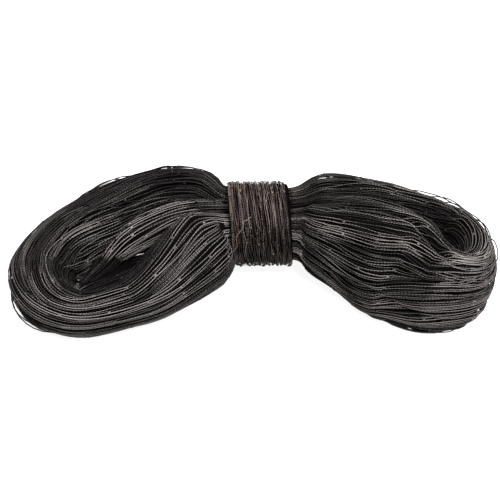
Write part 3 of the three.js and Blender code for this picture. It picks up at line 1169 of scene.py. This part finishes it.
class HANK_OT_wrap(bpy.types.Operator):
    """Wind the tail of the net round the waist"""

    bl_idname = "net_hank.wrap"
    bl_label = "Wound Tail"

    seed = 53
    sides = 5

    # Thickness of a strand against the net's, and length of its mesh's steps against the net's
    thin = 0.75
    fine = 0.8

    # Layers: millimetres under the turns' crest, strands in a turn, tone. The under layer's lower tone
    # is painted shade between the strands on top
    layers = ((0.9, 6, 0.06), (0.0, 6, 0.36))

    # Pairs of rows to one with knots, least share of its width that a turn keeps at a row, sway in
    # millimetres and its shortest and longest wave
    knot_rows = 2
    gather = 1.0
    sway = 0.4
    sway_waves = (40, 110)

    # Millimetres that the strands keep from the wrap's edge, power that holds them back there,
    # share of the solid's furrows that they follow, turns and millimetres that their ends tuck in
    margin = 0.6
    hold = 8
    furrow_share = 0.2
    tuck_turns = 0.15
    tuck_depth = 5

    # Unevenness of the tone between strands, gain of that between bars, then the rise of painted light
    # round the waist and the angle in radians where it is palest, towards the top where the light falls
    strand_jitter = 0.18
    bar_gain = 1.5
    rise = 0.13
    palest_lit_angle = 1.05

    # Stray end of the tail: steps to a point of its route, millimetres over the crest, tone, pale as a
    # painted highlight
    end_steps = 6
    end_lift = 0.7
    end_highlight_tone = 0.95

    def execute(self, context):
        twine = context.scene.hank_twine
        rng = np.random.default_rng(self.seed)
        core = shrunk_copy("waist_wrap", "wrap_core", CORE_DEPTH["waist_wrap"] * twine.thickness)
        add_piece(core, core_material(), "wrap_twine", "waist_wrap")
        net = Net(twine, self.sides, self.thin)
        for layer in self.layers:
            self.wind(rng, net, *layer)
        self.add_end(net)
        add_net(net, "wrap", wrap_twine(twine), "wrap_twine")
        return {"FINISHED"}

    def wind(self, rng, net, sink, count, tone):
        """Winds one layer of strands round the waist and tucks its ends in"""
        pitch = WRAP_WIDTH / WRAP_TURNS
        tuck = self.tuck_turns * TAU
        step = net.twine.step / MM / WRAP_CREST * self.fine
        angle = np.arange(-tuck, WRAP_TURNS * TAU + tuck, step)
        run = angle * WRAP_CREST
        rope = Rope(rng, run, count, pitch / count, WRAP_KINK, ROPE_TOUCH * pitch / count,
                    KNOT_JITTER["wrap"], self.knot_rows, self.gather)
        x = rope.across + drift(rng, count, run, self.sway, self.sway_waves)
        x = x + pitch * (angle / TAU - WRAP_TURNS / 2)
        x = x / (1 + np.abs(x / (WRAP_WIDTH / 2 - self.margin)) ** self.hold) ** (1 / self.hold)
        edge = np.clip((WRAP_WIDTH / 2 - np.abs(x)) / WRAP_EDGE, 0, 1)
        furrow = WRAP_FURROW * (1 - np.abs(np.sin(math.pi * (x / pitch - angle / TAU))))
        radius = WRAP_CREST - sink - self.furrow_share * furrow - WRAP_DROP * (1 - edge) ** 2 + rope.lift
        ends = np.minimum(1, np.minimum(angle - angle[0], angle[-1] - angle) / tuck)
        radius = radius - self.tuck_depth * (1 - ends) ** 2
        skewed = x + WRAP_SKEW * np.cos(angle - WRAP_SKEW_ANGLE)
        tones = tone + rng.normal(0, self.strand_jitter, (count, 1)) + self.bar_gain * rope.tone
        # Painted light, palest towards the top of the waist
        tones = tones + self.rise * np.cos(angle - self.palest_lit_angle)
        net.add(*self.round_waist(skewed, angle, radius), tones, rope)

    def add_end(self, net):
        """Lets the end of the tail stray over the turns, pale with a painted highlight"""
        along = np.linspace(0, len(WRAP_END) - 1, self.end_steps * len(WRAP_END))
        x, turn = (np.interp(along, np.arange(len(WRAP_END)), column) for column in np.transpose(WRAP_END))
        crest = np.full((1, len(along)), WRAP_CREST + self.end_lift)
        net.add(*self.round_waist(x[None], np.radians(turn), crest), np.full((1, 1), self.end_highlight_tone))

    def round_waist(self, x, angle, radius):
        """Points and outward normals, each (strand, station, xyz), at angles round the waist"""
        ups = np.stack(np.broadcast_arrays(0 * x, np.cos(angle), np.sin(angle)), axis=-1)
        return radius[..., None] * ups + np.stack([x, 0 * x, 0 * x + WAIST.z / MM], axis=-1), ups


class HANK_OT_loose(bpy.types.Operator):
    """Let a few strands bow out from the rim"""

    bl_idname = "net_hank.loose"
    bl_label = "Loose Strands"

    seed = 71
    sides = 6

    # Thickness against the net's, tone, millimetres that the ends sit in the bunch, power of the
    # bow's outline
    thick = 1.2
    tone = 0.5
    tuck = 1.5
    bow = 0.8

    # Sway round the bunch in radians and off it in millimetres, each with its waves in millimetres
    sway = 0.03
    sway_waves = (60, 120)
    quiver = 0.6
    quiver_waves = (18, 45)

    def execute(self, context):
        twine = context.scene.hank_twine
        oval = Oval()
        rng = np.random.default_rng(self.seed)
        net = Net(twine, self.sides, self.thick)
        for first, last, start, end, height in LOOSE_STRANDS:
            place = oval.places(first, last, twine.step / MM)
            run = oval.distance(place)
            f = np.linspace(0, 1, len(place))[None]
            angle = np.radians(start + short_turn(start, end) * f)
            angle = angle + drift(rng, 1, run, self.sway, self.sway_waves)
            lift = -self.tuck + (height + self.tuck) * np.sin(math.pi * f) ** self.bow
            lift = lift + drift(rng, 1, run, self.quiver, self.quiver_waves)
            points, ups, _ = oval.lay(place, angle, lift)
            net.add(points, ups, np.full((1, 1), self.tone))
        add_piece(net.strand_object("loose_strands"), net_twine(twine), "net_twine")
        return {"FINISHED"}


class HANK_OT_stage(bpy.types.Operator):
    """Set the floor, the lights and the camera"""

    bl_idname = "net_hank.stage"
    bl_label = "Stage"

    # Camera: point that it looks at in metres, width of its sensor in millimetres
    look_at = (0.0008, -0.0075, 0.040)
    sensor = 36

    # Floor: metres from its middle to an edge, roughness, shine
    floor_reach = 6
    floor_roughness = 0.9
    floor_shine = 0.1

    # Lights: name, place and size in metres, share of the lights' power
    lights = (
        ("key", (0.3, -0.6, 1.2), 0.4, 1.3),
        ("top", (-0.3, 0.2, 1.5), 1.3, 1.2),
    )

    def execute(self, context):
        scene = context.scene
        stage = scene.hank_stage
        scene.view_settings.view_transform = "Standard"
        self.add_floor(scene, stage)
        self.add_lights(scene, stage)
        target = Vector(self.look_at)
        back = Vector((0, -math.cos(stage.elevation), math.sin(stage.elevation)))
        camera = bpy.data.objects.new("camera", bpy.data.cameras.new("camera"))
        camera.data.lens = stage.lens
        camera.data.sensor_width = self.sensor
        camera.location = target + back * stage.distance
        camera.rotation_euler = (-back).to_track_quat("-Z", "Y").to_euler()
        scene.collection.objects.link(camera)
        scene.camera = camera
        return {"FINISHED"}

    def add_floor(self, scene, stage):
        shape = bmesh.new()
        bmesh.ops.create_grid(shape, x_segments=2, y_segments=2, size=self.floor_reach)
        mesh = bpy.data.meshes.new("floor")
        shape.to_mesh(mesh)
        shape.free()
        floor = bpy.data.objects.new("floor", mesh)
        paper, _, shader = new_material("paper_floor")
        shader.inputs["Base Color"].default_value = (*stage.floor_colour, 1)
        shader.inputs["Roughness"].default_value = self.floor_roughness
        shader.inputs["Specular IOR Level"].default_value = self.floor_shine
        shader.inputs["Emission Color"].default_value = (1, 1, 1, 1)
        shader.inputs["Emission Strength"].default_value = stage.floor_glow
        mesh.materials.append(paper)
        scene.collection.objects.link(floor)

    def add_lights(self, scene, stage):
        sky = bpy.data.worlds.new("studio")
        sky.use_nodes = True
        glow = sky.node_tree.nodes["Background"]
        glow.inputs["Color"].default_value = (1, 1, 1, 1)
        glow.inputs["Strength"].default_value = stage.sky
        scene.world = sky
        for name, place, size, share in self.lights:
            lamp = bpy.data.lights.new(name, "AREA")
            lamp.size = size
            lamp.energy = stage.light_power * share
            light = bpy.data.objects.new(name, lamp)
            light.location = place
            light.rotation_euler = (-Vector(place)).to_track_quat("-Z", "Y").to_euler()
            scene.collection.objects.link(light)


class HANK_PT_panel(bpy.types.Panel):
    """Lists the hank's settings and steps"""

    bl_idname = "HANK_PT_panel"
    bl_label = "Net Hank"
    bl_space_type = "VIEW_3D"
    bl_region_type = "UI"
    bl_category = "Net Hank"

    def draw(self, context):
        for settings in (context.scene.hank_twine, context.scene.hank_stage):
            for name in settings.__annotations__:
                self.layout.prop(settings, name)
        for step in STEPS:
            self.layout.operator(step.bl_idname)


STEPS = (
    HANK_OT_stage, HANK_OT_core, HANK_OT_lobes, HANK_OT_crossing,
    HANK_OT_eye, HANK_OT_wrap, HANK_OT_loose,
)
CLASSES = (TwineSettings, StageSettings, *STEPS, HANK_PT_panel)


def register():
    for cls in CLASSES:
        bpy.utils.register_class(cls)
    bpy.types.Scene.hank_twine = bpy.props.PointerProperty(type=TwineSettings)
    bpy.types.Scene.hank_stage = bpy.props.PointerProperty(type=StageSettings)


def unregister():
    del bpy.types.Scene.hank_stage
    del bpy.types.Scene.hank_twine
    for cls in reversed(CLASSES):
        bpy.utils.unregister_class(cls)


def main():
    register()
    bpy.ops.net_hank.stage()
    bpy.ops.net_hank.core()
    bpy.ops.net_hank.lobes()
    bpy.ops.net_hank.crossing()
    bpy.ops.net_hank.eye()
    bpy.ops.net_hank.wrap()
    bpy.ops.net_hank.loose()


if __name__ == "__main__":
    main()
